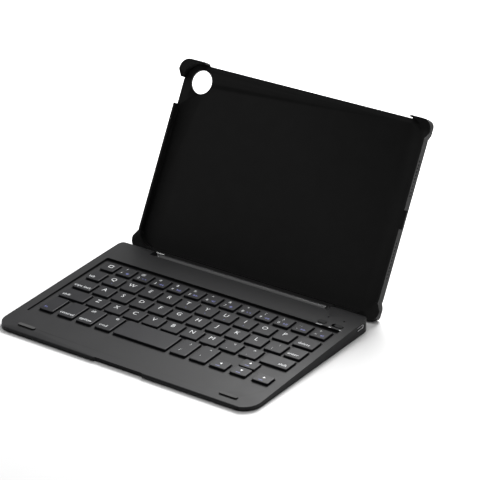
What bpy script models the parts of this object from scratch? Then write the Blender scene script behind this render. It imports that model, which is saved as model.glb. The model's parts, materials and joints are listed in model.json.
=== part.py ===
"""Tablet keyboard case: a wedge-shaped wireless keyboard with a hinged back shell for a tablet.

X runs along the width, +Y towards the hinge and +Z up.  The case stands open as it is typed on,
with the keyboard flat on the table and the shell leaning back.
"""
import math

import bmesh
import bpy
from mathutils import Matrix, Vector

MM = 0.001
GAP = 0.3 * MM                       # clearance between two pieces that touch on the real case

# ---------------------------------------------------------------- driving dimensions
BASE_WIDTH = 204.6 * MM
BASE_FRONT_Y = -106.6 * MM
BASE_REAR_Y = 39.0 * MM
BASE_BOTTOM_Z = 0.4 * MM             # the rubber feet hold the base this far off the table
RIM_FRONT_Z = 3.16 * MM              # height of the base's top along its front edge
RIM_SLOPE = 0.0458                   # rise of the top per unit of depth
FRONT_CORNER_RADIUS = 13.0 * MM
REAR_CORNER_RADIUS = 8.7 * MM
WALL = 1.6 * MM

WELL_LEFT_X = -95.6 * MM
WELL_RIGHT_X = 96.1 * MM
WELL_REAR_Y = 10.3 * MM
WELL_FRONT_Y = -77.5 * MM
WELL_REAR_DEPTH = 1.9 * MM           # how far the key deck lies below the top, along its rear edge
WELL_FRONT_DEPTH = 1.2 * MM          # and along its front edge
DECK_THICKNESS = 0.6 * MM

KEY_RISE = 1.6 * MM                  # cap top above the deck
KEY_TRAVEL = 1.0 * MM
KEY_CLEARANCE = 0.3 * MM
KEY_FLANGE = 0.4 * MM                # lip under the deck that keeps a cap in its hole
KEY_FLANGE_TOP = -0.75 * MM          # below the deck surface
KEY_FLANGE_BOTTOM = -1.05 * MM
MEMBRANE_TOP = KEY_FLANGE_BOTTOM - KEY_TRAVEL - 0.05 * MM
MEMBRANE_THICKNESS = 0.2 * MM

HINGE_Y = 35.9 * MM
HINGE_Z = 4.6 * MM
BARREL_RADIUS = 3.7 * MM
BARREL_HALF_LENGTH = 69.0 * MM
SLOT_HALF_LENGTH = 73.4 * MM
SLOT_FRONT_Y = 29.9 * MM
SLOT_INNER_Y = 31.5 * MM             # the front wall of the slot leans back to here, beside the barrel
ROD_RADIUS = 1.25 * MM
ROD_HALF_LENGTH = 84.0 * MM

LEAN = math.radians(27.1)            # how far the shell leans back from upright
TABLET_WIDTH = 195.4 * MM            # the tablet the pocket is made for
TABLET_HEIGHT = 134.8 * MM
TABLET_THICKNESS = 6.3 * MM
TABLET_CORNER_RADIUS = 12.0 * MM
FACE_Y = 8.63 * MM                   # tablet glass behind the hinge axis, in the shell's own frame
POCKET_FLOOR_Z = 5.49 * MM           # bottom of the pocket above the hinge axis, in the same frame
SHELL_WALL = 1.7 * MM
SHELL_BACK = 1.6 * MM
WALL_SETBACK = 1.5 * MM              # the tablet's glass stands this far proud of the walls
BUMPER_OUT = 2.9 * MM                # corner bumpers stand this far out of the side walls
BUMPER_RAMP = 5.0 * MM               # and slope out to that over this length
BACK_TOP_DROP = 0.5 * MM             # the back's open top edge stops this far below the tablet's top
TOP_EDGE_RADIUS = 2.6 * MM           # rounding of the shell's back along its top
HEEL_RADIUS = 5.2 * MM               # along its bottom, to clear the table
SIDE_EDGE_RADIUS = 4.5 * MM          # and along its two sides, out at the bumpers
TRIM_MARGIN = 0.1 * MM               # the views that shape the shell stand this far outside it

PART_COLLECTION = "tablet_keyboard_case"

# worked out from the values above
BASE_HALF = BASE_WIDTH / 2
DECK_SLOPE = RIM_SLOPE - (WELL_REAR_DEPTH - WELL_FRONT_DEPTH) / (WELL_REAR_Y - WELL_FRONT_Y)
DECK_ANGLE = math.atan(DECK_SLOPE)


def rim_z(y):
    """Height of the base's sloping top at a given depth."""
    return RIM_FRONT_Z + RIM_SLOPE * (y - BASE_FRONT_Y)


DECK_FRONT_Z = rim_z(WELL_FRONT_Y) - WELL_FRONT_DEPTH
DECK_FRAME = Matrix.Translation((0, WELL_FRONT_Y, DECK_FRONT_Z)) @ Matrix.Rotation(DECK_ANGLE, 4, 'X')
SHELL_FRAME = Matrix.Translation((0, HINGE_Y, HINGE_Z)) @ Matrix.Rotation(-LEAN, 4, 'X')


# ---------------------------------------------------------------- scene and materials
def clear_scene():
    for obj in list(bpy.data.objects):
        bpy.data.objects.remove(obj, do_unlink=True)


def new_collection(name):
    collection = bpy.data.collections.new(name)
    bpy.context.scene.collection.children.link(collection)
    return collection


def new_material(name, colour, roughness, metallic=0.0):
    material = bpy.data.materials.new(name)
    material.use_nodes = True
    shader = material.node_tree.nodes["Principled BSDF"]
    shader.inputs["Base Color"].default_value = (*colour, 1.0)
    shader.inputs["Roughness"].default_value = roughness
    shader.inputs["Metallic"].default_value = metallic
    return material


clear_scene()
PARTS = new_collection(PART_COLLECTION)
CUTTERS = new_collection("cutters")

HOUSING_BLACK = new_material("housing_black_abs", (0.035, 0.035, 0.037), 0.42)
COVER_BLACK = new_material("cover_black_abs", (0.03, 0.03, 0.03), 0.6)
KEY_GREY = new_material("keycap_dark_grey", (0.05, 0.05, 0.055), 0.5)
SHELL_BLACK = new_material("shell_black_polycarbonate", (0.02, 0.02, 0.02), 0.35)
BARREL_BLACK = new_material("barrel_gloss_black", (0.02, 0.02, 0.02), 0.2)
RUBBER = new_material("rubber_black", (0.02, 0.02, 0.02), 0.85)
STEEL = new_material("hinge_steel", (0.6, 0.6, 0.62), 0.3, 1.0)
BOARD_GREEN = new_material("circuit_board_green", (0.02, 0.2, 0.08), 0.5)
CELL_SILVER = new_material("battery_foil", (0.6, 0.6, 0.6), 0.4, 0.3)
MEMBRANE_CLEAR = new_material("membrane_film", (0.6, 0.62, 0.65), 0.4)
LIGHT_PIPE = new_material("light_pipe_clear", (0.7, 0.75, 0.8), 0.2)


# ---------------------------------------------------------------- shape helpers
def mesh_object(name, bm, collection, material=None, parent=None):
    mesh = bpy.data.meshes.new(name)
    bm.to_mesh(mesh)
    bm.free()
    obj = bpy.data.objects.new(name, mesh)
    collection.objects.link(obj)
    if material:
        mesh.materials.append(material)
    if parent:
        obj.parent = parent
    if collection is CUTTERS:
        obj.hide_render = True
        obj.display_type = 'WIRE'
    return obj


def fillet_outline(corners, segments=6):
    """Round each (u, v, radius) corner of a counter-clockwise outline."""
    points = []
    count = len(corners)
    for index, (u, v, radius) in enumerate(corners):
        here = Vector((u, v))
        if radius <= 0:
            points.append(here)
            continue
        before = (Vector(corners[index - 1][:2]) - here).normalized()
        after = (Vector(corners[(index + 1) % count][:2]) - here).normalized()
        half = before.angle(after) / 2
        centre = here + (before + after).normalized() * (radius / math.sin(half))
        start = here + before * (radius / math.tan(half)) - centre
        end = here + after * (radius / math.tan(half)) - centre
        turn = start.angle_signed(end)
        for step in range(segments + 1):
            points.append(centre + Matrix.Rotation(-turn * step / segments, 2) @ start)
    return points


def rectangle(u0, u1, v0, v1, radii=(0, 0, 0, 0)):
    """Corners of a rectangle with a radius for each of (u0,v0), (u1,v0), (u1,v1), (u0,v1)."""
    return [(u0, v0, radii[0]), (u1, v0, radii[1]), (u1, v1, radii[2]), (u0, v1, radii[3])]


PLAN, SIDE, FRONT = 'plan', 'side', 'front'
AXES = {
    PLAN: Matrix.Identity(4),                                            # u = X, v = Y, along Z
    SIDE: Matrix(((0, 0, 1, 0), (1, 0, 0, 0), (0, 1, 0, 0), (0, 0, 0, 1))),   # u = Y, v = Z, along X
    FRONT: Matrix(((1, 0, 0, 0), (0, 0, -1, 0), (0, 1, 0, 0), (0, 0, 0, 1))),  # u = X, v = Z, along -Y
}


def prism_bmesh(outline, view, low, high):
    """A solid with the given outline, from low to high along the axis the view looks along."""
    if view == FRONT:
        low, high = -high, -low
    bm = bmesh.new()
    face = bm.faces.new([bm.verts.new((u, v, low)) for u, v in outline])
    grown = bmesh.ops.extrude_face_region(bm, geom=[face])
    moved = [item for item in grown["geom"] if isinstance(item, bmesh.types.BMVert)]
    bmesh.ops.translate(bm, verts=moved, vec=(0, 0, high - low))
    bmesh.ops.transform(bm, matrix=AXES[view], verts=bm.verts)
    bmesh.ops.recalc_face_normals(bm, faces=bm.faces)
    return bm


def prism(name, outline, view, low, high, collection, material=None, frame=None):
    bm = prism_bmesh(outline, view, low, high)
    if frame:
        bmesh.ops.transform(bm, matrix=frame, verts=bm.verts)
    return mesh_object(name, bm, collection, material)


def box(name, x, y, z, collection, material=None, frame=None):
    return prism(name, [Vector(c[:2]) for c in rectangle(*x, *y)], PLAN, *z, collection, material, frame)


def cylinder(name, radius, start, end, segments, collection, material=None, frame=None):
    """A solid round bar between two points."""
    start, end = Vector(start), Vector(end)
    axis = end - start
    bm = bmesh.new()
    bmesh.ops.create_cone(bm, cap_ends=True, segments=segments, radius1=radius, radius2=radius,
                          depth=axis.length)
    turn = axis.to_track_quat('Z', 'Y').to_matrix().to_4x4()
    bmesh.ops.transform(bm, matrix=Matrix.Translation((start + end) / 2) @ turn, verts=bm.verts)
    if frame:
        bmesh.ops.transform(bm, matrix=frame, verts=bm.verts)
    return mesh_object(name, bm, collection, material)


def boolean(obj, tool, operation):
    modifier = obj.modifiers.new(operation.lower(), 'BOOLEAN')
    modifier.operation = operation
    modifier.solver = 'EXACT'
    modifier.object = tool


def cut(obj, *tools):
    for tool in tools:
        boolean(obj, tool, 'DIFFERENCE')


def join_meshes(name, builders, collection):
    """One cutter made of several loose solids that do not touch each other."""
    joined = bmesh.new()
    for builder in builders:
        piece = bpy.data.meshes.new("piece")
        builder.to_mesh(piece)
        builder.free()
        joined.from_mesh(piece)
        bpy.data.meshes.remove(piece)
    return mesh_object(name, joined, collection)


# ---------------------------------------------------------------- key layout
ROW_PITCH = 15.3 * MM
KEY_DEPTH = 12.4 * MM
LETTER_PITCH = 15.54 * MM
LETTER_WIDTH = 13.2 * MM
NUMBER_PITCH = 14.42 * MM
NUMBER_WIDTH = 12.05 * MM
ARROW_DEPTH = 9.25 * MM
KEYS_LEFT_X = -91.0 * MM
KEYS_RIGHT_X = 93.8 * MM

BOTTOM_ROW_Y = (-73.5 * MM, -53.95 * MM)
SHIFT_ROW_Y = (-51.8 * MM, -51.8 * MM + KEY_DEPTH)
HOME_ROW_Y = tuple(y + ROW_PITCH for y in SHIFT_ROW_Y)
TAB_ROW_Y = tuple(y + ROW_PITCH for y in HOME_ROW_Y)
NUMBER_ROW_Y = (-5.2 * MM, 6.55 * MM)


def run_of_keys(names, first_x, pitch, width, row_y):
    return [(name, (first_x + pitch * i, first_x + pitch * i + width), row_y) for i, name in enumerate(names)]


NUMBER_KEYS = [("home", (KEYS_LEFT_X, -80.15 * MM), NUMBER_ROW_Y)]
NUMBER_KEYS += run_of_keys([*"1234567890", "minus", "equals"], -77.65 * MM, NUMBER_PITCH, NUMBER_WIDTH,
                           NUMBER_ROW_Y)

TAB_KEYS = [("tab", (KEYS_LEFT_X, -80.05 * MM), TAB_ROW_Y)]
TAB_KEYS += run_of_keys("qwertyuiop", -77.6 * MM, LETTER_PITCH, LETTER_WIDTH, TAB_ROW_Y)
TAB_KEYS += [("delete", (78.15 * MM, KEYS_RIGHT_X), TAB_ROW_Y)]

HOME_KEYS = [("caps_lock", (KEYS_LEFT_X, -76.3 * MM), HOME_ROW_Y)]
HOME_KEYS += run_of_keys([*"asdfghjkl", "semicolon"], -73.95 * MM, LETTER_PITCH, LETTER_WIDTH, HOME_ROW_Y)
HOME_KEYS += [("enter", (81.35 * MM, KEYS_RIGHT_X), HOME_ROW_Y)]

SHIFT_KEYS = [("left_shift", (KEYS_LEFT_X, -70.2 * MM), SHIFT_ROW_Y)]
SHIFT_KEYS += run_of_keys([*"zxcvbnm", "comma", "full_stop"], -67.95 * MM, LETTER_PITCH, LETTER_WIDTH,
                          SHIFT_ROW_Y)
SHIFT_KEYS += [("right_shift", (72.6 * MM, KEYS_RIGHT_X), SHIFT_ROW_Y)]

BOTTOM_KEYS = [("fn", (-90.1 * MM, -79.0 * MM), BOTTOM_ROW_Y)]
BOTTOM_KEYS += run_of_keys(["control", "option", "command"], -74.85 * MM, 15.58 * MM, 12.33 * MM, BOTTOM_ROW_Y)
BOTTOM_KEYS += [("space", (-28.6 * MM, 14.0 * MM), BOTTOM_ROW_Y)]
BOTTOM_KEYS += run_of_keys(["slash", "quote"], 17.3 * MM, 15.5 * MM, 12.37 * MM, BOTTOM_ROW_Y)

LOWER_HALF = (BOTTOM_ROW_Y[0], BOTTOM_ROW_Y[0] + ARROW_DEPTH)
UPPER_HALF = (BOTTOM_ROW_Y[1] - ARROW_DEPTH, BOTTOM_ROW_Y[1])
ARROW_KEYS = [
    ("left", (48.5 * MM, 60.75 * MM), LOWER_HALF),
    ("down", (64.3 * MM, 76.55 * MM), LOWER_HALF),
    ("up", (64.3 * MM, 76.55 * MM), UPPER_HALF),
    ("right", (81.35 * MM, KEYS_RIGHT_X), LOWER_HALF),
]

SINGLE_KEYS = TAB_KEYS + HOME_KEYS + SHIFT_KEYS + BOTTOM_KEYS
ALL_KEYS = NUMBER_KEYS + SINGLE_KEYS + ARROW_KEYS


def on_deck(y):
    """Depth on the tilted deck, measured from the front of the well."""
    return y - WELL_FRONT_Y


def chamfered(x, y, margin, corner):
    """Outline of a key with small corners cut off, grown by a margin."""
    sides = rectangle(x[0] - margin, x[1] + margin, on_deck(y[0]) - margin, on_deck(y[1]) + margin, (corner,) * 4)
    return fillet_outline(sides, 1)


def grow_cap(bm, face):
    """Raise a key's skirt and chamfered top from a face of its flange."""
    for rise, inset in ((KEY_RISE - 0.25 * MM - KEY_FLANGE_TOP, 0.1 * MM), (0.25 * MM, 0.25 * MM)):
        grown = bmesh.ops.extrude_face_region(bm, geom=[face])
        verts = [item for item in grown["geom"] if isinstance(item, bmesh.types.BMVert)]
        bmesh.ops.delete(bm, geom=[face], context='FACES_ONLY')
        face = next(item for item in grown["geom"] if isinstance(item, bmesh.types.BMFace))
        middle = face.calc_center_bounds()
        for vert in verts:
            vert.co.x -= math.copysign(inset, vert.co.x - middle.x)
            vert.co.y -= math.copysign(inset, vert.co.y - middle.y)
            vert.co.z += rise


def key_flange(x, y):
    return prism_bmesh(chamfered(x, y, KEY_FLANGE, 0.8 * MM), PLAN, KEY_FLANGE_BOTTOM, KEY_FLANGE_TOP)


def key_cap(name, x, y):
    """A cap with a flange under the deck.  Its origin is the middle of its own footprint."""
    bm = key_flange(x, y)
    top = max(bm.faces, key=lambda f: f.calc_center_median().z)
    bmesh.ops.inset_region(bm, faces=[top], thickness=KEY_FLANGE, use_even_offset=True)
    grow_cap(bm, top)
    bmesh.ops.recalc_face_normals(bm, faces=bm.faces)
    centre = Vector(((x[0] + x[1]) / 2, on_deck((y[0] + y[1]) / 2), 0))
    bmesh.ops.translate(bm, verts=bm.verts, vec=-centre)
    obj = mesh_object(name, bm, PARTS, KEY_GREY)
    obj.matrix_world = DECK_FRAME @ Matrix.Translation(centre)
    return obj


def key_group(name, keys, margin):
    """Caps that share one carrier plate under the deck and travel together."""
    x = (min(k[1][0] for k in keys) - margin, max(k[1][1] for k in keys) + margin)
    y = (min(k[2][0] for k in keys) - margin, max(k[2][1] for k in keys) + margin)
    centre = Vector(((x[0] + x[1]) / 2, on_deck((y[0] + y[1]) / 2), 0))
    carrier = prism_bmesh(chamfered(x, y, 0, 0.8 * MM), PLAN, KEY_FLANGE_BOTTOM, KEY_FLANGE_TOP)
    bmesh.ops.translate(carrier, verts=carrier.verts, vec=-centre)
    obj = mesh_object(name, carrier, PARTS, KEY_GREY)
    caps = []
    for _, cap_x, cap_y in keys:
        root = KEY_FLANGE_TOP - 0.2 * MM
        bm = prism_bmesh(chamfered(cap_x, cap_y, 0, 0.6 * MM), PLAN, root, KEY_FLANGE_TOP)
        top = max(bm.faces, key=lambda f: f.calc_center_median().z)
        grow_cap(bm, top)
        bmesh.ops.recalc_face_normals(bm, faces=bm.faces)
        bmesh.ops.translate(bm, verts=bm.verts, vec=-centre)
        caps.append(bm)
    tool = join_meshes(name + "_caps", caps, CUTTERS)
    obj.matrix_world = DECK_FRAME @ Matrix.Translation(centre)
    tool.matrix_world = obj.matrix_world
    boolean(obj, tool, 'UNION')
    return obj


# ---------------------------------------------------------------- controls, port and pads
CONTROL_Y = (12.4 * MM, 16.0 * MM)
CONTROL_X = {"connect_button": (76.0 * MM, 82.5 * MM), "power_switch": (88.8 * MM, 95.3 * MM)}
CONTROL_RISE = 0.4 * MM
SWITCH_TRAVEL = 2.0 * MM
LED_CENTRES = ((79.4 * MM, 21.8 * MM), (91.5 * MM, 21.8 * MM))
LED_RADIUS = 0.6 * MM
PORT_Y = (22.0 * MM, 29.8 * MM)
PORT_Z = (4.4 * MM, 7.1 * MM)
PAD_CENTRES = {"left_bumper_pad": (-80.8 * MM, -98.0 * MM), "right_bumper_pad": (80.8 * MM, -98.0 * MM)}
PAD_LENGTH = 13.8 * MM
PAD_DEPTH = 2.6 * MM
PAD_RISE = 0.9 * MM
PAD_SEAT = 0.6 * MM                  # depth of the recess each pad sits in
NOTCH_X = (-19.6 * MM, 19.6 * MM)
NOTCH_DEPTH = 1.5 * MM

RIM_ANGLE = math.atan(RIM_SLOPE)
REAR_TOP_THICKNESS = 1.3 * MM
RIM_FRAME = Matrix.Translation((0, BASE_FRONT_Y, RIM_FRONT_Z)) @ Matrix.Rotation(RIM_ANGLE, 4, 'X')


def on_rim(y):
    """Depth on the sloping top, measured from its front edge."""
    return (y - BASE_FRONT_Y) / math.cos(RIM_ANGLE)


def pill(x, y, margin=0.0):
    """Outline of a round-ended slot lying along X on the sloping top."""
    radius = (y[1] - y[0]) / 2 + margin
    sides = rectangle(x[0] - margin, x[1] + margin, on_rim(y[0]) - margin, on_rim(y[1]) + margin,
                      (radius * 0.999,) * 4)
    return fillet_outline(sides, 4)


# ---------------------------------------------------------------- keyboard base
def base_plan(inset=0.0):
    front = FRONT_CORNER_RADIUS - inset
    rear = REAR_CORNER_RADIUS - inset
    return fillet_outline(rectangle(-BASE_HALF + inset, BASE_HALF - inset, BASE_FRONT_Y + inset,
                                    BASE_REAR_Y - inset, (front, front, rear, rear)), 8)


def base_side():
    """Side view of the wedge, with a rounded nose and a rounded rear."""
    return fillet_outline([
        (BASE_FRONT_Y, BASE_BOTTOM_Z, 0.9 * MM),
        (BASE_REAR_Y, BASE_BOTTOM_Z, 1.5 * MM),
        (BASE_REAR_Y, rim_z(BASE_REAR_Y), 4.5 * MM),
        (BASE_FRONT_Y, RIM_FRONT_Z, 1.4 * MM),
    ], 5)


COVER_THICKNESS = 0.5 * MM
COVER_TOP_Z = BASE_BOTTOM_Z + COVER_THICKNESS
COVER_REAR_Y = 27.6 * MM
CAVITY_REAR_Y = 26.8 * MM
CAVITY_FRONT_Y = -102.0 * MM
CAVITY_HALF = BASE_HALF - WALL - GAP


def top_housing():
    housing = prism("top_housing", base_side(), SIDE, -BASE_HALF, BASE_HALF, PARTS, HOUSING_BLACK)
    boolean(housing, prism("plan_outline", base_plan(), PLAN, -2 * MM, 14 * MM, CUTTERS), 'INTERSECT')
    over = 3 * MM
    well_outline = fillet_outline(rectangle(WELL_LEFT_X, WELL_RIGHT_X, -2 * MM, on_deck(WELL_REAR_Y),
                                            (0, 0, 1.2 * MM, 1.2 * MM)), 3)
    well = prism("key_well", well_outline, PLAN, 0, 6 * MM, CUTTERS, frame=DECK_FRAME)
    under_deck = box("space_under_deck", (-CAVITY_HALF, CAVITY_HALF), (-1.0 * MM, on_deck(WELL_REAR_Y) + over),
                     (-9 * MM, -DECK_THICKNESS), CUTTERS, frame=DECK_FRAME)
    under_palm = box("space_under_palm_rest", (-CAVITY_HALF + 6 * MM, CAVITY_HALF - 6 * MM),
                     (on_rim(CAVITY_FRONT_Y), on_rim(WELL_FRONT_Y) - 1.0 * MM),
                     (-9 * MM, -1.1 * MM), CUTTERS, frame=RIM_FRAME)
    under_rear = box("space_under_rear_deck", (-CAVITY_HALF, CAVITY_HALF),
                     (on_rim(WELL_REAR_Y) + 1.0 * MM, on_rim(CAVITY_REAR_Y)),
                     (-12 * MM, -REAR_TOP_THICKNESS), CUTTERS, frame=RIM_FRAME)
    cover_seat = prism("cover_seat", cover_outline(-GAP), PLAN, -2 * MM, COVER_TOP_Z + GAP, CUTTERS)
    cut(housing, well, under_deck, under_palm, under_rear, cover_seat)

    cap_holes = [prism_bmesh([Vector(c[:2]) for c in rectangle(
        x[0] - KEY_CLEARANCE, x[1] + KEY_CLEARANCE, on_deck(y[0]) - KEY_CLEARANCE,
        on_deck(y[1]) + KEY_CLEARANCE)], PLAN, -3 * MM, 3 * MM) for _, x, y in ALL_KEYS]
    holes = join_meshes("key_holes", cap_holes, CUTTERS)
    holes.matrix_world = DECK_FRAME
    cut(housing, holes)

    slot = prism("hinge_slot", [Vector(p) for p in (
        (SLOT_FRONT_Y, 14 * MM), (SLOT_FRONT_Y, 8.8 * MM), (SLOT_INNER_Y, 5.4 * MM), (SLOT_INNER_Y, -2 * MM),
        (BASE_REAR_Y + 9 * MM, -2 * MM), (BASE_REAR_Y + 9 * MM, 14 * MM))], SIDE, -SLOT_HALF_LENGTH, SLOT_HALF_LENGTH, CUTTERS)
    rod_hole = cylinder("hinge_rod_hole", ROD_RADIUS + GAP, (-ROD_HALF_LENGTH - GAP, HINGE_Y, HINGE_Z),
                        (ROD_HALF_LENGTH + GAP, HINGE_Y, HINGE_Z), 24, CUTTERS)
    port = box("port_opening", (BASE_HALF - 6.5 * MM, BASE_HALF + 2 * MM), (PORT_Y[0] - GAP, PORT_Y[1] + GAP),
               (PORT_Z[0] - GAP, PORT_Z[1] + GAP), CUTTERS)
    notch = prism("finger_notch", fillet_outline(rectangle(
        *NOTCH_X, BASE_FRONT_Y - 3 * MM, BASE_FRONT_Y + NOTCH_DEPTH, (0, 0, 1.4 * MM, 1.4 * MM)), 4),
        PLAN, -2 * MM, 8 * MM, CUTTERS)
    cut(housing, slot, rod_hole, port, notch)

    switch_x = CONTROL_X["power_switch"]
    controls = join_meshes("control_openings", [
        prism_bmesh(pill(CONTROL_X["connect_button"], CONTROL_Y, GAP), PLAN, -3 * MM, 2 * MM),
        prism_bmesh(pill((switch_x[0] - SWITCH_TRAVEL, switch_x[1]), CONTROL_Y, GAP), PLAN, -3 * MM, 2 * MM),
    ] + [led_hole(x, y) for x, y in LED_CENTRES], CUTTERS)
    controls.matrix_world = RIM_FRAME
    cut(housing, controls)
    pads = join_meshes("pad_seats", [
        prism_bmesh(pill(*pad_span(centre), GAP), PLAN, -PAD_SEAT, 2 * MM) for centre in PAD_CENTRES.values()
    ], CUTTERS)
    pads.matrix_world = RIM_FRAME
    cut(housing, pads)
    return housing


def led_hole(x, y):
    circle = [Vector((x + (LED_RADIUS + GAP) * math.cos(math.tau * i / 12),
                      on_rim(y) + (LED_RADIUS + GAP) * math.sin(math.tau * i / 12))) for i in range(12)]
    return prism_bmesh(circle, PLAN, -3 * MM, 2 * MM)


def pad_span(centre):
    x, y = centre
    return (x - PAD_LENGTH / 2, x + PAD_LENGTH / 2), (y - PAD_DEPTH / 2, y + PAD_DEPTH / 2)


def cover_outline(inset=0.0):
    """The bottom cover stops short of the hinge end blocks."""
    half = BASE_HALF - 1.3 * MM - inset
    front = FRONT_CORNER_RADIUS - 1.3 * MM - inset
    return fillet_outline(rectangle(-half, half, BASE_FRONT_Y + 2.6 * MM + inset, COVER_REAR_Y - inset,
                                    (front, front, 2 * MM, 2 * MM)), 6)


def bottom_cover():
    return prism("bottom_cover", cover_outline(), PLAN, BASE_BOTTOM_Z, COVER_TOP_Z, PARTS, COVER_BLACK)


def internals():
    membrane = box("switch_membrane", (-93.6 * MM, 94.8 * MM), (2.0 * MM, on_deck(8.8 * MM)),
                   (MEMBRANE_TOP - MEMBRANE_THICKNESS, MEMBRANE_TOP), PARTS, MEMBRANE_CLEAR, DECK_FRAME)
    board_z = 3.1 * MM
    board = box("circuit_board", (56 * MM, 98 * MM), (12.0 * MM, 26.2 * MM), (board_z, board_z + 0.8 * MM),
                PARTS, BOARD_GREEN)
    cell = prism("battery_cell", fillet_outline(rectangle(-62 * MM, 48 * MM, 11.8 * MM, 26.2 * MM, (1 * MM,) * 4), 2),
                 PLAN, COVER_TOP_Z + 0.4 * MM, COVER_TOP_Z + 5.0 * MM, PARTS, CELL_SILVER)
    return membrane, board, cell


def charging_port():
    y_low, y_high = PORT_Y
    z_low, z_high = PORT_Z
    shell = prism("charging_port", fillet_outline(rectangle(y_low, y_high, z_low, z_high, (0.9 * MM,) * 4), 2),
                  SIDE, BASE_HALF - 6.2 * MM, BASE_HALF - 0.4 * MM, PARTS, STEEL)
    rim = 0.35 * MM
    mouth = prism("port_mouth", fillet_outline(rectangle(
        y_low + rim, y_high - rim, z_low + rim, z_high - rim, (0.6 * MM,) * 4), 2),
        SIDE, BASE_HALF - 5.0 * MM, BASE_HALF + 1 * MM, CUTTERS)
    cut(shell, mouth)
    return shell


def control(name, travel_down):
    """A pill-shaped cap, captive under the rear deck."""
    x, y = CONTROL_X[name], CONTROL_Y
    centre = Vector(((x[0] + x[1]) / 2, on_rim((y[0] + y[1]) / 2), 0))
    foot_top = -REAR_TOP_THICKNESS - 0.2 * MM
    cap = prism_bmesh(pill(x, y), PLAN, foot_top - 0.3 * MM, CONTROL_RISE)
    bmesh.ops.translate(cap, verts=cap.verts, vec=-centre)
    obj = mesh_object(name, cap, PARTS, COVER_BLACK)
    obj.matrix_world = RIM_FRAME @ Matrix.Translation(centre)
    foot = prism(name + "_foot", pill(x, y, 0.7 * MM), PLAN, foot_top - travel_down, foot_top, CUTTERS)
    foot.matrix_world = RIM_FRAME
    boolean(obj, foot, 'UNION')
    return obj


def status_light_pipe():
    """One clear moulding: a bar under the deck with a post under each light hole."""
    bar_top = -REAR_TOP_THICKNESS - GAP
    (x0, y0), (x1, _) = LED_CENTRES
    pipe = box("status_light_pipe", (x0 - 1.5 * MM, x1 + 1.5 * MM), (on_rim(y0) - 1 * MM, on_rim(y0) + 1 * MM),
               (bar_top - 0.8 * MM, bar_top), PARTS, LIGHT_PIPE)
    posts = join_meshes("light_posts", [post_bmesh(x, y, bar_top - 0.4 * MM) for x, y in LED_CENTRES], CUTTERS)
    boolean(pipe, posts, 'UNION')
    pipe.matrix_world = RIM_FRAME
    posts.matrix_world = RIM_FRAME
    return pipe


def post_bmesh(x, y, low):
    circle = [Vector((x + LED_RADIUS * math.cos(math.tau * i / 12),
                      on_rim(y) + LED_RADIUS * math.sin(math.tau * i / 12))) for i in range(12)]
    return prism_bmesh(circle, PLAN, low, -0.2 * MM)


def pads_and_feet():
    for name, centre in PAD_CENTRES.items():
        prism(name, pill(*pad_span(centre)), PLAN, GAP - PAD_SEAT, PAD_RISE, PARTS, RUBBER, RIM_FRAME)
    for name, y in (("front_foot_strip", -96.0 * MM), ("rear_foot_strip", 18.0 * MM)):
        outline = fillet_outline(rectangle(-70 * MM, 70 * MM, y - 3 * MM, y + 3 * MM, (2.9 * MM,) * 4), 3)
        prism(name, outline, PLAN, 0, BASE_BOTTOM_Z, PARTS, RUBBER)


# ---------------------------------------------------------------- hinge and back shell
POCKET_BACK_Y = FACE_Y + TABLET_THICKNESS + GAP
SHELL_BACK_Y = POCKET_BACK_Y + SHELL_BACK
WALL_FRONT_Y = FACE_Y + WALL_SETBACK
POCKET_HALF = TABLET_WIDTH / 2 + GAP
POCKET_TOP_Z = POCKET_FLOOR_Z + TABLET_HEIGHT + 2 * GAP
SHELL_HALF = POCKET_HALF + SHELL_WALL
SHELL_FLOOR_Z = POCKET_FLOOR_Z - 2.0 * MM
TABLET_BOTTOM_Z = POCKET_FLOOR_Z + GAP
BUMPER_HALF = SHELL_HALF + BUMPER_OUT
BUMPER_FRONT_Y = WALL_FRONT_Y - 0.6 * MM
BUMPER_LOW_Z = 1.6 * MM
BUMPER_HIGH_Z = POCKET_TOP_Z + 1.4 * MM
HOOK_LEFT_X = -81.6 * MM             # inner end of the top left hook
HOOK_RIGHT_X = 84.3 * MM
LOW_BUMPER_X = 86.0 * MM
LOW_CORNER_RADIUS = 7.0 * MM
HIGH_CORNER_RADIUS = 7.9 * MM
LOW_BUMPER_TOP_Z = 14.9 * MM
HIGH_BUMPER_LOW_Z = TABLET_BOTTOM_Z + 122.6 * MM
BUTTON_GAP_Z = (TABLET_BOTTOM_Z + 103.4 * MM, HIGH_BUMPER_LOW_Z)
PLUG_GAP_Z = (TABLET_BOTTOM_Z + 60.5 * MM, TABLET_BOTTOM_Z + 73.6 * MM)
SPEAKER_ROWS_Z = (TABLET_BOTTOM_Z + 26.5 * MM, TABLET_BOTTOM_Z + 83.6 * MM)
SPEAKER_HOLES = 11
SPEAKER_PITCH = 2.4 * MM
SPEAKER_RADIUS = 0.7 * MM
CAMERA_X = -84.7 * MM
CAMERA_Z = TABLET_BOTTOM_Z + 122.3 * MM
CAMERA_RADIUS = 8.5 * MM


def bumper(name, x, z, outer_corner, radius):
    """A thick corner pad; the named corner of its outline is the big outer one."""
    radii = [2.0 * MM] * 4
    radii[outer_corner] = radius
    corners = rectangle(*x, *z, tuple(radii))
    end = 3 - outer_corner           # the end of the pad that runs out into the side wall
    inward = math.copysign(BUMPER_OUT + GAP, -corners[end][0])
    along = math.copysign(BUMPER_RAMP, corners[outer_corner][1] - corners[end][1])
    ramp = [(corners[end][0], corners[end][1] + along, 2.0 * MM), (corners[end][0] + inward, corners[end][1], 0)]
    corners[end:end + 1] = ramp if end % 2 == 0 else ramp[::-1]
    return prism(name, fillet_outline(corners, 6), FRONT, BUMPER_FRONT_Y, SHELL_BACK_Y + 1.5 * MM, CUTTERS,
                 frame=SHELL_FRAME)


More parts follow.
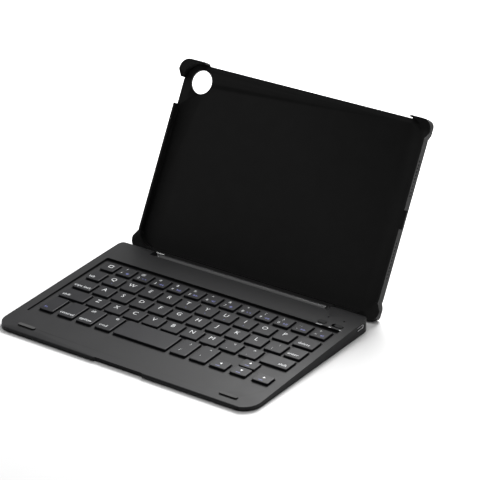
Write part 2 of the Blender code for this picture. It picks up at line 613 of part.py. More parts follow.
def shell_side():
    """Side view of the shell's outside: the lower rear edge is rounded to clear the table."""
    return fillet_outline([
        (BUMPER_FRONT_Y - TRIM_MARGIN, BUMPER_LOW_Z - TRIM_MARGIN, 0),
        (SHELL_BACK_Y, BUMPER_LOW_Z - TRIM_MARGIN, HEEL_RADIUS),
        (SHELL_BACK_Y, BUMPER_HIGH_Z + TRIM_MARGIN, TOP_EDGE_RADIUS),
        (BUMPER_FRONT_Y - TRIM_MARGIN, BUMPER_HIGH_Z + TRIM_MARGIN, 0),
    ], 5)


def shell_top_view():
    """Seen from above: the back is rounded towards both sides."""
    half = BUMPER_HALF + TRIM_MARGIN
    return fillet_outline(rectangle(-half, half, BUMPER_FRONT_Y - TRIM_MARGIN, SHELL_BACK_Y + TRIM_MARGIN,
                                    (0, 0, SIDE_EDGE_RADIUS, SIDE_EDGE_RADIUS)), 5)


def hinge_saddle():
    """The web that carries the shell on the barrel, in side view."""
    arc = BARREL_RADIUS + GAP
    points = [Vector((arc * math.cos(math.radians(a)), arc * math.sin(math.radians(a))))
              for a in range(60, -31, -15)]
    points += [Vector(p) for p in ((8.2 * MM, -0.6 * MM), (11.0 * MM, 0.9 * MM), (13.2 * MM, 2.6 * MM),
                                   (13.2 * MM, 4.6 * MM), (10.4 * MM, 4.9 * MM))]
    return points


def back_shell():
    corner = TABLET_CORNER_RADIUS + SHELL_WALL
    plate = fillet_outline(rectangle(-SHELL_HALF, SHELL_HALF, SHELL_FLOOR_Z, POCKET_TOP_Z - BACK_TOP_DROP,
                                     (corner,) * 4), 8)
    shell = prism("back_shell", plate, FRONT, WALL_FRONT_Y, SHELL_BACK_Y + 1 * MM, PARTS, SHELL_BLACK)
    shell.matrix_world = SHELL_FRAME
    high = (HIGH_BUMPER_LOW_Z, BUMPER_HIGH_Z)
    low = (BUMPER_LOW_Z, LOW_BUMPER_TOP_Z)
    for tool in (
            bumper("bumper_low_left", (-BUMPER_HALF, -LOW_BUMPER_X), low, 0, LOW_CORNER_RADIUS),
            bumper("bumper_low_right", (LOW_BUMPER_X, BUMPER_HALF), low, 1, LOW_CORNER_RADIUS),
            bumper("bumper_high_right", (HOOK_RIGHT_X, BUMPER_HALF), high, 2, HIGH_CORNER_RADIUS),
            bumper("bumper_high_left", (-BUMPER_HALF, HOOK_LEFT_X), high, 3, HIGH_CORNER_RADIUS)):
        boolean(shell, tool, 'UNION')
    saddle = prism("saddle_web", hinge_saddle(), SIDE, -BARREL_HALF_LENGTH, BARREL_HALF_LENGTH, CUTTERS,
                   frame=SHELL_FRAME)
    rounding = prism("shell_side_view", shell_side(), SIDE, -BUMPER_HALF - 2 * MM, BUMPER_HALF + 2 * MM,
                     CUTTERS, frame=SHELL_FRAME)
    boolean(shell, rounding, 'INTERSECT')
    side_rounding = prism("shell_top_view", shell_top_view(), PLAN, BUMPER_LOW_Z - 1 * MM, BUMPER_HIGH_Z + 1 * MM,
                          CUTTERS, frame=SHELL_FRAME)
    boolean(shell, side_rounding, 'INTERSECT')
    boolean(shell, saddle, 'UNION')

    pocket_corner = TABLET_CORNER_RADIUS + GAP
    pocket = prism("tablet_pocket", fillet_outline(rectangle(
        -POCKET_HALF, POCKET_HALF, POCKET_FLOOR_Z, POCKET_TOP_Z, (pocket_corner,) * 4), 8),
        FRONT, FACE_Y - 5 * MM, POCKET_BACK_Y, CUTTERS, frame=SHELL_FRAME)
    gap_back_y = POCKET_BACK_Y + 0.05 * MM
    top_gap = box("open_top_edge", (HOOK_LEFT_X, HOOK_RIGHT_X), (FACE_Y - 6 * MM, gap_back_y),
                  (POCKET_TOP_Z - 4 * MM, POCKET_TOP_Z + 6 * MM), CUTTERS, frame=SHELL_FRAME)
    button_gap = box("button_gap", (-BUMPER_HALF - 2 * MM, -POCKET_HALF + 0.5 * MM),
                     (FACE_Y - 7 * MM, gap_back_y), BUTTON_GAP_Z, CUTTERS, frame=SHELL_FRAME)
    plug_gap = box("plug_gap", (POCKET_HALF - 0.5 * MM, BUMPER_HALF + 2 * MM),
                   (FACE_Y - 8 * MM, POCKET_BACK_Y - 0.5 * MM), PLUG_GAP_Z, CUTTERS, frame=SHELL_FRAME)
    speaker_y = (WALL_FRONT_Y + POCKET_BACK_Y) / 2
    speakers = join_meshes("speaker_holes", [
        speaker_hole(speaker_y, row + SPEAKER_PITCH * i) for row in SPEAKER_ROWS_Z for i in range(SPEAKER_HOLES)
    ], CUTTERS)
    speakers.matrix_world = SHELL_FRAME
    camera = cylinder("camera_hole", CAMERA_RADIUS, (CAMERA_X, POCKET_BACK_Y - 2 * MM, CAMERA_Z),
                      (CAMERA_X, SHELL_BACK_Y + 2 * MM, CAMERA_Z), 32, CUTTERS, frame=SHELL_FRAME)
    cut(shell, pocket, top_gap, button_gap, plug_gap, speakers, camera)
    return shell


def speaker_hole(y, z):
    circle = [Vector((y + SPEAKER_RADIUS * math.cos(math.tau * (i + 0.5) / 8),
                      z + SPEAKER_RADIUS * math.sin(math.tau * (i + 0.5) / 8))) for i in range(8)]
    return prism_bmesh(circle, SIDE, POCKET_HALF - 1 * MM, SHELL_HALF + 1 * MM)


def hinge():
    rod = cylinder("hinge_rod", ROD_RADIUS, (-ROD_HALF_LENGTH, HINGE_Y, HINGE_Z),
                   (ROD_HALF_LENGTH, HINGE_Y, HINGE_Z), 20, PARTS, STEEL)
    barrel = cylinder("hinge_barrel", BARREL_RADIUS, (-BARREL_HALF_LENGTH, 0, 0), (BARREL_HALF_LENGTH, 0, 0),
                      40, PARTS, BARREL_BLACK)
    barrel.matrix_world = SHELL_FRAME
    bore = cylinder("barrel_bore", ROD_RADIUS + GAP, (-BARREL_HALF_LENGTH - 1 * MM, 0, 0),
                    (BARREL_HALF_LENGTH + 1 * MM, 0, 0), 24, CUTTERS, frame=SHELL_FRAME)
    cut(barrel, bore)
    return rod, barrel


def centre_on_origin():
    """Hang everything on one empty, so that the whole case stands centred on the origin."""
    shell_rear_y = (HINGE_Y + (SHELL_BACK_Y - TOP_EDGE_RADIUS) * math.cos(LEAN)
                    + (BUMPER_HIGH_Z - TOP_EDGE_RADIUS) * math.sin(LEAN) + TOP_EDGE_RADIUS)
    origin = bpy.data.objects.new("case_origin", None)
    bpy.context.scene.collection.objects.link(origin)
    origin.location.y = -(BASE_FRONT_Y + shell_rear_y) / 2
    for obj in (*PARTS.objects, *CUTTERS.objects):
        obj.parent = origin


# ---------------------------------------------------------------- build
top_housing()
bottom_cover()
internals()
charging_port()
control("connect_button", 0.8 * MM)
control("power_switch", 0.8 * MM)
status_light_pipe()
pads_and_feet()
for key_name, key_x, key_y in SINGLE_KEYS:
    key_cap("key_" + key_name, key_x, key_y)
key_group("number_row_keycaps", NUMBER_KEYS, KEY_FLANGE)
key_group("arrow_keycaps", ARROW_KEYS, KEY_FLANGE)
hinge()
back_shell()
centre_on_origin()
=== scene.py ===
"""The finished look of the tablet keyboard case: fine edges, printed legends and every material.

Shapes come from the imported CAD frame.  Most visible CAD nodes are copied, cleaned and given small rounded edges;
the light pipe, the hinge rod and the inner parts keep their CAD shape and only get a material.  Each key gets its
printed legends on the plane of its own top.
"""

import json
import math

import bmesh
import bpy
from mathutils import Matrix, Vector


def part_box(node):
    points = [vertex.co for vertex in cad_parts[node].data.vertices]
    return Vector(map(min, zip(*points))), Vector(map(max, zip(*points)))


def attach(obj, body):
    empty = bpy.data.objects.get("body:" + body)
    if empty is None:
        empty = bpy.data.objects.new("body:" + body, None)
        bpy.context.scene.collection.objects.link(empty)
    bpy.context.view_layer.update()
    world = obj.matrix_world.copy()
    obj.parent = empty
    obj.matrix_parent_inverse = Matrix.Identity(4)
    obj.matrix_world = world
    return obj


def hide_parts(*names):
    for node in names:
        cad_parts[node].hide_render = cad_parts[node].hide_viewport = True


MM = 0.001
WELD = 0.002 * MM                      # points of a CAD mesh closer than this are one point

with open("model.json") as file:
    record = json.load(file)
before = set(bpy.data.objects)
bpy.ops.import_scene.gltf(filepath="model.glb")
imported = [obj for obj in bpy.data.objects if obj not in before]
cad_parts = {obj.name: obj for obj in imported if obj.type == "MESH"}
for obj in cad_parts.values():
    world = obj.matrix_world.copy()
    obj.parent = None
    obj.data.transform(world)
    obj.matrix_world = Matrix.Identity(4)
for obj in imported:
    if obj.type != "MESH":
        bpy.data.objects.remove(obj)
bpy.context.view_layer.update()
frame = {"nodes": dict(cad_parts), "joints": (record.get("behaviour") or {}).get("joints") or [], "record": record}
BODY_OF = {node: body for body, nodes in frame["record"]["behaviour"]["bodies"].items() for node in nodes}
JOINTS = {joint["name"]: joint for joint in frame["joints"]}


# ---------------------------------------------------------------- materials
CLOUD_SCALE = 90                       # soft mottling, about a centimetre across
CLOUD_RANGE = (0.3, 0.7)
ROUGHNESS_SPREAD = 0.06
GRAIN_DEPTH = 0.02 * MM
WORN_RANGE = (0.53, 0.62)              # pointiness from where an edge starts to look rubbed
WORN_GAIN, WORN_LIFT = 2.4, 0.02       # how much lighter a rubbed edge is


def material(name, colour, roughness, grain, bump, mottle=0.08, specular=0.5, metallic=0.0,
             streaks=None, wear=0.0):
    """A moulded or metal surface: fine grain in the bump, soft mottling in colour and roughness."""
    mat = bpy.data.materials.new(name)
    mat.use_nodes = True
    tree = mat.node_tree
    nodes, links = tree.nodes, tree.links
    shader = nodes["Principled BSDF"]
    shader.inputs["Metallic"].default_value = metallic
    shader.inputs["Specular IOR Level"].default_value = specular
    place = nodes.new("ShaderNodeTexCoord")
    source = place.outputs["Object"]
    if streaks:
        stretch = nodes.new("ShaderNodeMapping")
        stretch.inputs["Scale"].default_value = streaks
        links.new(source, stretch.inputs["Vector"])
        source = stretch.outputs["Vector"]

    cloud = nodes.new("ShaderNodeTexNoise")
    cloud.inputs["Scale"].default_value = CLOUD_SCALE
    cloud.inputs["Detail"].default_value = 4
    links.new(place.outputs["Object"], cloud.inputs["Vector"])
    shade = nodes.new("ShaderNodeValToRGB")
    dark, light = shade.color_ramp.elements
    dark.position, light.position = CLOUD_RANGE
    dark.color = (*(c * (1 - mottle) for c in colour), 1)
    light.color = (*(min(1, c * (1 + mottle)) for c in colour), 1)
    links.new(cloud.outputs["Fac"], shade.inputs["Fac"])
    tone = shade.outputs["Color"]
    if wear:
        edge = nodes.new("ShaderNodeNewGeometry")
        rub = nodes.new("ShaderNodeMapRange")
        rub.inputs["From Min"].default_value = WORN_RANGE[0]
        rub.inputs["From Max"].default_value = WORN_RANGE[1]
        rub.inputs["To Max"].default_value = wear
        links.new(edge.outputs["Pointiness"], rub.inputs["Value"])
        mix = nodes.new("ShaderNodeMix")
        mix.data_type = 'RGBA'
        mix.inputs["B"].default_value = (*(min(1, c * WORN_GAIN + WORN_LIFT) for c in colour), 1)
        links.new(rub.outputs["Result"], mix.inputs["Factor"])
        links.new(tone, mix.inputs["A"])
        tone = mix.outputs["Result"]
    links.new(tone, shader.inputs["Base Color"])

    grit = nodes.new("ShaderNodeTexNoise")
    grit.inputs["Scale"].default_value = grain
    grit.inputs["Detail"].default_value = 2
    links.new(source, grit.inputs["Vector"])
    gloss = nodes.new("ShaderNodeMapRange")
    gloss.inputs["To Min"].default_value = roughness - ROUGHNESS_SPREAD
    gloss.inputs["To Max"].default_value = roughness + ROUGHNESS_SPREAD
    links.new(cloud.outputs["Fac"], gloss.inputs["Value"])
    links.new(gloss.outputs["Result"], shader.inputs["Roughness"])
    relief = nodes.new("ShaderNodeBump")
    relief.inputs["Strength"].default_value = bump
    relief.inputs["Distance"].default_value = GRAIN_DEPTH
    links.new(grit.outputs["Fac"], relief.inputs["Height"])
    links.new(relief.outputs["Normal"], shader.inputs["Normal"])
    return mat


# Painted shade: a near-black colour put where shade falls inside the charging port's mouth.
PORT_PAINTED_SHADE = (0.004, 0.004, 0.004, 1)
PORT_SHADE_DEPTH = 0.6 * MM             # painted shade: the port's metal is painted dark from this far inside its mouth


def paint_shade_inside(mat, x_mouth, depth):
    """Paint shade into a metal shell that opens towards +X: its colour goes dark a short way inside its mouth."""
    nodes, links = mat.node_tree.nodes, mat.node_tree.links
    shader = nodes["Principled BSDF"]
    tone = shader.inputs["Base Color"].links[0].from_socket
    place = nodes.new("ShaderNodeTexCoord")
    split = nodes.new("ShaderNodeSeparateXYZ")
    links.new(place.outputs["Object"], split.inputs["Vector"])
    light = nodes.new("ShaderNodeMapRange")
    light.inputs["From Min"].default_value = x_mouth - depth
    light.inputs["From Max"].default_value = x_mouth - depth / 3
    links.new(split.outputs["X"], light.inputs["Value"])
    mix = nodes.new("ShaderNodeMix")
    mix.data_type = 'RGBA'
    mix.inputs["A"].default_value = PORT_PAINTED_SHADE
    links.new(light.outputs["Result"], mix.inputs["Factor"])
    links.new(tone, mix.inputs["B"])
    links.new(mix.outputs["Result"], shader.inputs["Base Color"])


HOUSING = material("housing_black_abs", (0.0095, 0.0095, 0.01), 0.48, grain=5200, bump=0.35, specular=0.08,
                   wear=0.25)
COVER = material("cover_black_abs", (0.0085, 0.0085, 0.009), 0.55, grain=3200, bump=0.5, specular=0.08)
KEYCAP = material("keycap_dark_grey", (0.0115, 0.0115, 0.013), 0.45, grain=6500, bump=0.3, specular=0.1,
                  wear=0.3)
SHELL = material("shell_black_polycarbonate", (0.006, 0.006, 0.006), 0.45, grain=4200, bump=0.35,
                 specular=0.1, wear=0.25)
BARREL = material("barrel_gloss_black", (0.02, 0.02, 0.021), 0.36, grain=3000, bump=0.05, specular=0.6)
RUBBER = material("rubber_black", (0.012, 0.012, 0.012), 0.8, grain=3800, bump=0.6)
STEEL = material("hinge_steel", (0.55, 0.55, 0.57), 0.3, grain=900, bump=0.2, metallic=1.0,
                 streaks=(0.05, 4, 4))
PORT_STEEL = material("port_steel", (0.85, 0.85, 0.87), 0.45, grain=2500, bump=0.1, metallic=0.5)
BOARD = material("circuit_board_green", (0.01, 0.12, 0.05), 0.4, grain=1500, bump=0.2, mottle=0.2)
CELL = material("battery_foil", (0.5, 0.5, 0.52), 0.35, grain=1200, bump=0.4, metallic=0.6)
FILM = material("membrane_film", (0.45, 0.48, 0.5), 0.35, grain=800, bump=0.1)
LIGHT_PIPE = material("light_pipe_clear", (0.012, 0.012, 0.014), 0.2, grain=1500, bump=0.05)
WHITE_PRINT = material("legend_white_print", (0.6, 0.61, 0.62), 0.55, grain=9000, bump=0.1)
BLUE_PRINT = material("legend_blue_print", (0.055, 0.065, 0.24), 0.55, grain=9000, bump=0.1)


# ---------------------------------------------------------------- refined copies of the CAD nodes
FLAT_ANGLE = 0.4                       # degrees: faces this close to level with each other are one flat
SHARP_ANGLE = 38                       # degrees: edges sharper than this are rounded
KEYCAP_SHARP_ANGLE = 24                # the caps' sloping sides meet their tops at a blunter angle
FLAT_WEIGHT = 60                       # how strongly the large faces set the shading of their corners
HOUSING_EDGE = 0.35 * MM               # widths of the rounded edges
SHELL_EDGE = 0.45 * MM
BARREL_EDGE = 0.3 * MM
CONTROL_EDGE = 0.2 * MM
COVER_EDGE = 0.2 * MM
PORT_EDGE = 0.08 * MM
FOOT_EDGE = 0.12 * MM
PAD_EDGE = 0.35 * MM
KEYCAP_EDGE = 0.22 * MM


def link(obj):
    """Put a new object in the scene."""
    bpy.context.scene.collection.objects.link(obj)
    return obj


def finish_edges(obj, width, segments, angle):
    """Round the sharp edges, and keep the flat faces flat in the shading."""
    for polygon in obj.data.polygons:
        polygon.use_smooth = True
    bevel = obj.modifiers.new("rounded_edges", 'BEVEL')
    bevel.width = width
    bevel.segments = segments
    bevel.limit_method = 'ANGLE'
    bevel.angle_limit = math.radians(angle)
    bevel.miter_outer = 'MITER_ARC'
    bevel.use_clamp_overlap = True
    bevel.face_strength_mode = 'FSTR_ALL'
    weighted = obj.modifiers.new("flat_faces", 'WEIGHTED_NORMAL')
    weighted.mode = 'FACE_AREA'
    weighted.weight = FLAT_WEIGHT
    weighted.use_face_influence = True


def refined(node, mat, width, segments=3, angle=SHARP_ANGLE):
    """Replace a CAD node by a clean copy: even triangles on its flats, and rounded edges."""
    bm = bmesh.new()
    bm.from_mesh(frame["nodes"][node].data)
    bmesh.ops.remove_doubles(bm, verts=bm.verts, dist=WELD)
    bmesh.ops.dissolve_limit(bm, angle_limit=math.radians(FLAT_ANGLE), verts=bm.verts, edges=bm.edges,
                             delimit={'NORMAL'})
    bmesh.ops.triangulate(bm, faces=bm.faces, quad_method='BEAUTY', ngon_method='BEAUTY')
    mesh = bpy.data.meshes.new(node + "_fine")
    bm.to_mesh(mesh)
    bm.free()
    mesh.materials.append(mat)
    obj = link(bpy.data.objects.new(node + "_fine", mesh))
    finish_edges(obj, width, segments, angle)
    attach(obj, BODY_OF[node])
    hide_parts(node)


refined("top_housing", HOUSING, HOUSING_EDGE)
refined("back_shell", SHELL, SHELL_EDGE)
refined("hinge_barrel", BARREL, BARREL_EDGE, 2)
refined("bottom_cover", COVER, COVER_EDGE, 2)
refined("charging_port", PORT_STEEL, PORT_EDGE, 2)
# painted shade inside the charging port's mouth
paint_shade_inside(PORT_STEEL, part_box("charging_port")[1].x, PORT_SHADE_DEPTH)
refined("connect_button", COVER, CONTROL_EDGE)
refined("power_switch", COVER, CONTROL_EDGE)
for side in ("left", "right"):
    refined(side + "_bumper_pad", RUBBER, PAD_EDGE)
for end in ("front", "rear"):
    refined(end + "_foot_strip", RUBBER, FOOT_EDGE, 2)
KEY_NODES = [node for node in frame["nodes"] if node.startswith("key_") or node.endswith("_keycaps")]
for node in KEY_NODES:
    refined(node, KEYCAP, KEYCAP_EDGE, 3, KEYCAP_SHARP_ANGLE)

for node, mat in (("switch_membrane", FILM), ("circuit_board", BOARD), ("battery_cell", CELL),
                  ("status_light_pipe", LIGHT_PIPE), ("hinge_rod", STEEL)):
    frame["nodes"][node].data.materials.clear()
    frame["nodes"][node].data.materials.append(mat)


# ---------------------------------------------------------------- legends
DECK_NORMAL = -Vector(JOINTS["key_space_press"]["axis"])
DECK_ALONG = DECK_NORMAL.cross(Vector((1, 0, 0))).normalized()
PRINT_LIFT = 0.02 * MM                 # the print stands this far proud of the plastic
TOP_TOLERANCE = 0.01 * MM              # points this near a node's highest point are on its top


def top_faces(node, normal, along):
    """(u0, u1, v0, v1, height) of each flat top of a node: u along X, v up the deck."""
    bm = bmesh.new()
    bm.from_mesh(frame["nodes"][node].data)
    bmesh.ops.remove_doubles(bm, verts=bm.verts, dist=WELD)
    top = max(v.co.dot(normal) for v in bm.verts)
    todo = {f for f in bm.faces if all(v.co.dot(normal) > top - TOP_TOLERANCE for v in f.verts)}
    islands = []
    while todo:
        front, island = [todo.pop()], set()
        while front:
            face = front.pop()
            island.add(face)
            near = {f for v in face.verts for f in v.link_faces} & todo
            todo -= near
            front += near
        points = [v.co for f in island for v in f.verts]
        us = [p.x for p in points]
        vs = [p.dot(along) for p in points]
        islands.append((min(us), max(us), min(vs), max(vs), top))
    bm.free()
    return sorted(islands, key=lambda r: (round(r[0], 4), r[2]))


CAP_SHARE = 0.73                       # height of the built-in font's capitals, of its size


def text_mesh(words, height, bold):
    """Flat letters of a given cap height, with their middle at the origin."""
    curve = bpy.data.curves.new("print", 'FONT')
    curve.body = words
    curve.align_x = 'CENTER'
    curve.align_y = 'CENTER'
    curve.size = height / CAP_SHARE
    curve.offset = bold * height
    curve.resolution_u = 3
    holder = link(bpy.data.objects.new("print", curve))
    graph = bpy.context.evaluated_depsgraph_get()
    mesh = bpy.data.meshes.new_from_object(holder.evaluated_get(graph))
    bpy.data.objects.remove(holder)
    bpy.data.curves.remove(curve)
    return mesh


def polygon_mesh(outlines):
    """Flat filled shapes, one for each outline."""
    bm = bmesh.new()
    for outline in outlines:
        bm.faces.new([bm.verts.new((x, y, 0)) for x, y in outline])
    mesh = bpy.data.meshes.new("print")
    bm.to_mesh(mesh)
    bm.free()
    return mesh


def ring_mesh(outer, inner):
    """A flat ring between two outlines with the same number of points."""
    bm = bmesh.new()
    a = [bm.verts.new((x, y, 0)) for x, y in outer]
    b = [bm.verts.new((x, y, 0)) for x, y in inner]
    for i in range(len(a)):
        j = (i + 1) % len(a)
        bm.faces.new((a[i], a[j], b[j], b[i]))
    mesh = bpy.data.meshes.new("print")
    bm.to_mesh(mesh)
    bm.free()
    return mesh


def rounded_square(half, radius, steps=4):
    """The outline of a square of a given half width, with round corners."""
    points = []
    for quarter in range(4):
        turn = math.tau * quarter / 4
        for step in range(steps + 1):
            angle = turn + math.tau / 4 * step / steps
            cx = (half - radius) * (1 if quarter in (0, 3) else -1)
            cy = (half - radius) * (1 if quarter in (0, 1) else -1)
            points.append((cx + radius * math.cos(angle), cy + radius * math.sin(angle)))
    return points


def triangle(size, turn):
    """The outline of an even triangle that points in the direction turn."""
    return [(size * math.cos(turn + math.tau * k / 3), size * math.sin(turn + math.tau * k / 3))
            for k in range(3)]


class Prints:
    """Collects the printed marks of one body into one object."""

    def __init__(self, name, body, normal, along):
        self.name, self.body = name, body
        self.normal, self.along = normal, along
        self.bm = bmesh.new()

    def add(self, mesh, u, v, height, ink):
        place = Matrix((Vector((1, 0, 0)), self.along, self.normal)).transposed().to_4x4()
        origin = Vector((1, 0, 0)) * u + self.along * v + self.normal * (height + PRINT_LIFT)
        mesh.transform(Matrix.Translation(origin) @ place)
        for polygon in mesh.polygons:
            polygon.material_index = ink
        self.bm.from_mesh(mesh)
        bpy.data.meshes.remove(mesh)

    def done(self):
        mesh = bpy.data.meshes.new(self.name)
        self.bm.to_mesh(mesh)
        self.bm.free()
        mesh.materials.append(WHITE_PRINT)
        mesh.materials.append(BLUE_PRINT)
        obj = link(bpy.data.objects.new(self.name, mesh))
        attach(obj, self.body)


WHITE, BLUE = 0, 1                     # the inks, in the order of each print's materials
LETTER_HEIGHT = 4.0 * MM
WORD_HEIGHT = 2.7 * MM
SMALL_HEIGHT = 2.5 * MM
LABEL_HEIGHT = 1.1 * MM
LETTER_BOLD = -0.014                   # strokes thinner than the font's, as a share of the height
WORD_BOLD = -0.01
LABEL_BOLD = 0.02
ICON_SIZE = 1.15 * MM                  # from a picture's middle to its tip
ICON_BAR = 0.2 * MM                    # half width of a picture's upright bars
MARK_SIZE = 0.5 * MM                   # the small blue mark on some letter keys
ARROW_BAR = (1.6 * MM, 0.22 * MM)      # half sizes of the small mark under each arrow
HOME_RING = ((1.75 * MM, 0.6 * MM), (1.3 * MM, 0.35 * MM))       # half width and corner radius of the
COMMAND_RING = ((0.95 * MM, 0.4 * MM), (0.6 * MM, 0.25 * MM))    # outer and of the inner outline
LABEL_DROP = 1.2 * MM                  # from the button's front edge to the middle of the labels
OFF_SHIFT = -0.7 * MM                  # from the switch's left end to the middle of "off"
ON_SHIFT = -0.6 * MM                   # from the switch's right end to the middle of "on"

# Places on a key top, as shares of its width and depth.
LETTER_SPOT = (0.42, 0.62)
MARK_SPOT = (0.55, 0.2)
PAIR_SPOTS = ((0.56, 0.76), (0.36, 0.28))
NUMBER_SPOTS = ((0.34, 0.74), (0.26, 0.26))
ICON_SPOT = (0.68, 0.28)
HOME_SPOT = (0.5, 0.55)
ARROW_SPOT = (0.5, 0.62)
ARROW_BAR_SPOT = (0.45, 0.22)
FN_SPOT = (0.24, 0.2)
COMMAND_SPOT = (0.62, 0.84)


def at(rect, spot):
    """The point of a key top that a spot names."""
    u0, u1, v0, v1, height = rect
    return u0 + (u1 - u0) * spot[0], v0 + (v1 - v0) * spot[1], height


def word_on_key(prints, rect, words, spot, height=WORD_HEIGHT, ink=WHITE, bold=WORD_BOLD):
    prints.add(text_mesh(words, height, bold), *at(rect, spot), ink)


LETTERS = {"key_" + letter: letter.upper() for letter in "qwertyuiopasdfghjklzxcvbnm"}
MARKED_KEYS = ["key_" + letter for letter in "qtyui"]
WORDS = {
    "key_tab": [("tab", (0.27, 0.30))],
    "key_caps_lock": [("caps lock", (0.47, 0.28))],
    "key_left_shift": [("shift", (0.21, 0.30))],
    "key_right_shift": [("shift", (0.76, 0.30))],
    "key_delete": [("delete", (0.46, 0.30))],
    "key_enter": [("enter", (0.42, 0.30))],
    "key_control": [("control", (0.44, 0.20))],
    "key_option": [("option", (0.43, 0.20)), ("alt", (0.28, 0.83))],
    "key_command": [("cmd", (0.34, 0.22))],
}
PAIRS = {
    "key_semicolon": (":", ";"),
    "key_comma": ("<", ","),
    "key_full_stop": (">", "."),
    "key_slash": ("?", "/"),
    "key_quote": ('"', "'"),
}
NUMBER_ROW = [("!", "1"), ("@", "2"), ("#", "3"), ("$", "4"), ("%", "5"), ("^", "6"), ("&", "7"),
              ("*", "8"), ("(", "9"), (")", "0"), ("_", "-"), ("+", "=")]


def fn_icon(index):
    """Plain pictographs for the second functions: dots, triangles and bars."""
    size = ICON_SIZE
    turns = [math.tau * k / 16 for k in range(16)]
    circle = [(size * math.cos(turn), size * math.sin(turn)) for turn in turns]
    bar = [(-ICON_BAR, -size), (ICON_BAR, -size), (ICON_BAR, size), (-ICON_BAR, size)]

    def moved(outline, dx, scale=1.0):
        return [(x * scale + dx, y * scale) for x, y in outline]

    shapes = (
        [moved(circle, 0, 0.9)],
        [moved(circle, -size, 0.45), moved(circle, size, 0.45)],
        [moved(triangle(size, math.pi), -0.5 * size), moved(triangle(size, math.pi), 1.1 * size)],
        [moved(triangle(size, 0), -0.6 * size), moved(bar, 0.7 * size), moved(bar, 1.4 * size)],
        [moved(triangle(size, 0), -1.1 * size), moved(triangle(size, 0), 0.5 * size)],
        [moved(triangle(size, math.pi), -0.3 * size), moved(bar, 0.9 * size)],
    )
    return polygon_mesh(shapes[index % len(shapes)])


def print_number_row():
    rects = top_faces("number_row_keycaps", DECK_NORMAL, DECK_ALONG)
    prints = Prints("number_row_legends", "number_row", DECK_NORMAL, DECK_ALONG)
    prints.add(ring_mesh(*(rounded_square(*outline) for outline in HOME_RING)),
               *at(rects[0], HOME_SPOT), WHITE)
    for index, (rect, (upper, lower)) in enumerate(zip(rects[1:], NUMBER_ROW)):
        word_on_key(prints, rect, upper, NUMBER_SPOTS[0], SMALL_HEIGHT)
        word_on_key(prints, rect, lower, NUMBER_SPOTS[1], SMALL_HEIGHT)
        prints.add(fn_icon(index), *at(rect, ICON_SPOT), BLUE)
    prints.done()


def print_arrows():
    prints = Prints("arrow_legends", "arrow_cluster", DECK_NORMAL, DECK_ALONG)
    rects = top_faces("arrow_keycaps", DECK_NORMAL, DECK_ALONG)
    corners = ((-1, -1), (1, -1), (1, 1), (-1, 1))
    for rect, turn in zip(rects, (math.pi, -math.pi / 2, math.pi / 2, 0)):
        prints.add(polygon_mesh([triangle(ICON_SIZE, turn)]), *at(rect, ARROW_SPOT), WHITE)
        prints.add(polygon_mesh([[(x * ARROW_BAR[0], y * ARROW_BAR[1]) for x, y in corners]]),
                   *at(rect, ARROW_BAR_SPOT), BLUE)
    prints.done()


def print_single_keys():
    for node in KEY_NODES:
        if not node.startswith("key_") or node == "key_space":
            continue
        rect = top_faces(node, DECK_NORMAL, DECK_ALONG)[0]
        prints = Prints(node + "_legend", BODY_OF[node], DECK_NORMAL, DECK_ALONG)
        if node in LETTERS:
            word_on_key(prints, rect, LETTERS[node], LETTER_SPOT, LETTER_HEIGHT, bold=LETTER_BOLD)
            if node in MARKED_KEYS:
                prints.add(polygon_mesh([triangle(MARK_SIZE, math.pi / 2)]), *at(rect, MARK_SPOT), BLUE)
        for words, spot in WORDS.get(node, ()):
            word_on_key(prints, rect, words, spot)
        if node in PAIRS:
            upper, lower = PAIRS[node]
            word_on_key(prints, rect, upper, PAIR_SPOTS[0], SMALL_HEIGHT)
            word_on_key(prints, rect, lower, PAIR_SPOTS[1], SMALL_HEIGHT)
        if node == "key_fn":
            word_on_key(prints, rect, "fn", FN_SPOT, ink=BLUE)
        if node == "key_command":
            prints.add(ring_mesh(*(rounded_square(*outline) for outline in COMMAND_RING)),
                       *at(rect, COMMAND_SPOT), WHITE)
        prints.done()


def print_control_labels():
    """Small words between the controls and the rear edge of the key well."""
    normal = -Vector(JOINTS["connect_button_press"]["axis"])
    along = normal.cross(Vector((1, 0, 0))).normalized()
    low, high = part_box("connect_button")
    switch_low, switch_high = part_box("power_switch")
    housing = frame["nodes"]["top_housing"].data
    deck = max(v.co.dot(normal) for v in housing.vertices)
    front = Vector((0, low.y, low.z)).dot(along) - LABEL_DROP
    prints = Prints("control_labels", "keyboard_base", normal, along)
    middle = (low.x + high.x) / 2
    prints.add(text_mesh("connect", LABEL_HEIGHT, LABEL_BOLD), middle, front, deck, WHITE)
    prints.add(text_mesh("off", LABEL_HEIGHT, LABEL_BOLD), switch_low.x + OFF_SHIFT, front, deck, WHITE)
    prints.add(text_mesh("on", LABEL_HEIGHT, LABEL_BOLD), switch_high.x + ON_SHIFT, front, deck, WHITE)
    prints.done()


print_number_row()
print_arrows()
print_single_keys()
print_control_labels()


# ---------------------------------------------------------------- floor, light and camera
FLOOR_HALF_SIZE = 6.0


def make_floor():
    bm = bmesh.new()
    bmesh.ops.create_grid(bm, x_segments=2, y_segments=2, size=FLOOR_HALF_SIZE)
    mesh = bpy.data.meshes.new("floor")
    bm.to_mesh(mesh)
    bm.free()
    floor = link(bpy.data.objects.new("floor", mesh))
    mesh.materials.append(material("floor_white_paper", (0.6, 0.6, 0.6), 0.7, grain=60, bump=0.02,
                                   mottle=0.005, specular=0.2))


def area_light(name, place, target, size, power):
    data = bpy.data.lights.new(name, 'AREA')
    data.shape = 'RECTANGLE'
    data.size, data.size_y = size
    data.energy = power
    light = link(bpy.data.objects.new(name, data))
    light.location = place
    light.rotation_euler = (Vector(target) - Vector(place)).to_track_quat('-Z', 'Y').to_euler()


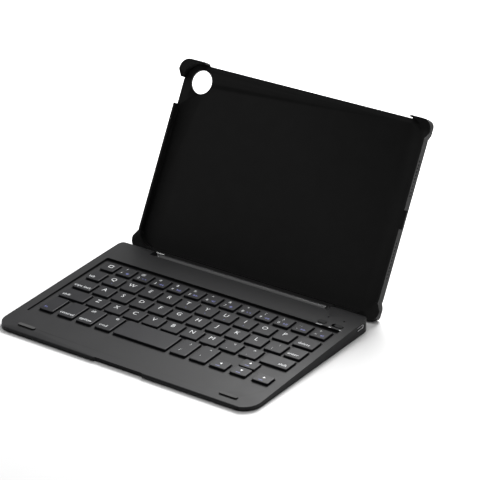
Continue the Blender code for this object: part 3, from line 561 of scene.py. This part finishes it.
KEY_LIGHT_PLACE = (-0.12, 0.62, 0.6)
KEY_LIGHT_TARGET = (0.05, -0.05, 0)
KEY_LIGHT_SIZE = (0.45, 0.35)
KEY_LIGHT_POWER = 19.0
HORIZON = 0.3                          # sine of the height at which the soft overhead light begins
HORIZON_GLOW = 0.03
ZENITH_GLOW = 1.2


def studio():
    """A bright soft ceiling over dark surroundings, and a soft box behind the case."""
    world = bpy.data.worlds.new("studio")
    bpy.context.scene.world = world
    world.use_nodes = True
    nodes, links = world.node_tree.nodes, world.node_tree.links
    direction = nodes.new("ShaderNodeTexCoord")
    split = nodes.new("ShaderNodeSeparateXYZ")
    links.new(direction.outputs["Generated"], split.inputs["Vector"])
    height = nodes.new("ShaderNodeMapRange")
    height.interpolation_type = 'SMOOTHSTEP'
    height.inputs["From Min"].default_value = HORIZON
    height.inputs["To Min"].default_value = HORIZON_GLOW
    height.inputs["To Max"].default_value = ZENITH_GLOW
    links.new(split.outputs["Z"], height.inputs["Value"])
    links.new(height.outputs["Result"], nodes["Background"].inputs["Strength"])
    nodes["Background"].inputs["Color"].default_value = (1, 1, 1, 1)
    area_light("key_light", KEY_LIGHT_PLACE, KEY_LIGHT_TARGET, KEY_LIGHT_SIZE, KEY_LIGHT_POWER)
    bpy.context.scene.view_settings.view_transform = 'Standard'


CAMERA_AZIMUTH = math.radians(33.68)   # the camera stands to the right of the front
CAMERA_ELEVATION = math.radians(24.99)
CAMERA_ROLL = math.radians(0.95)
CAMERA_DISTANCE = 1.545
AIM = Vector((0.0133, 0.009814, 0.05))  # the point at the middle of the picture
LENS = 173.15                          # millimetres, on the sensor below
HALF_PIXEL = 0.5 / 480                 # centres the picture between pixels instead of on one
SENSOR = 36.0


def make_camera():
    away = Vector((math.sin(CAMERA_AZIMUTH) * math.cos(CAMERA_ELEVATION),
                   -math.cos(CAMERA_AZIMUTH) * math.cos(CAMERA_ELEVATION),
                   math.sin(CAMERA_ELEVATION)))
    data = bpy.data.cameras.new("camera")
    data.lens = LENS
    data.sensor_width = SENSOR
    data.clip_end = 20
    data.shift_x = -HALF_PIXEL
    data.shift_y = HALF_PIXEL
    camera = link(bpy.data.objects.new("camera", data))
    camera.location = AIM + away * CAMERA_DISTANCE
    level = (-away).to_track_quat('-Z', 'Y').to_matrix()
    camera.rotation_euler = (level @ Matrix.Rotation(CAMERA_ROLL, 3, 'Z')).to_euler()
    bpy.context.scene.camera = camera


make_floor()
studio()
make_camera()
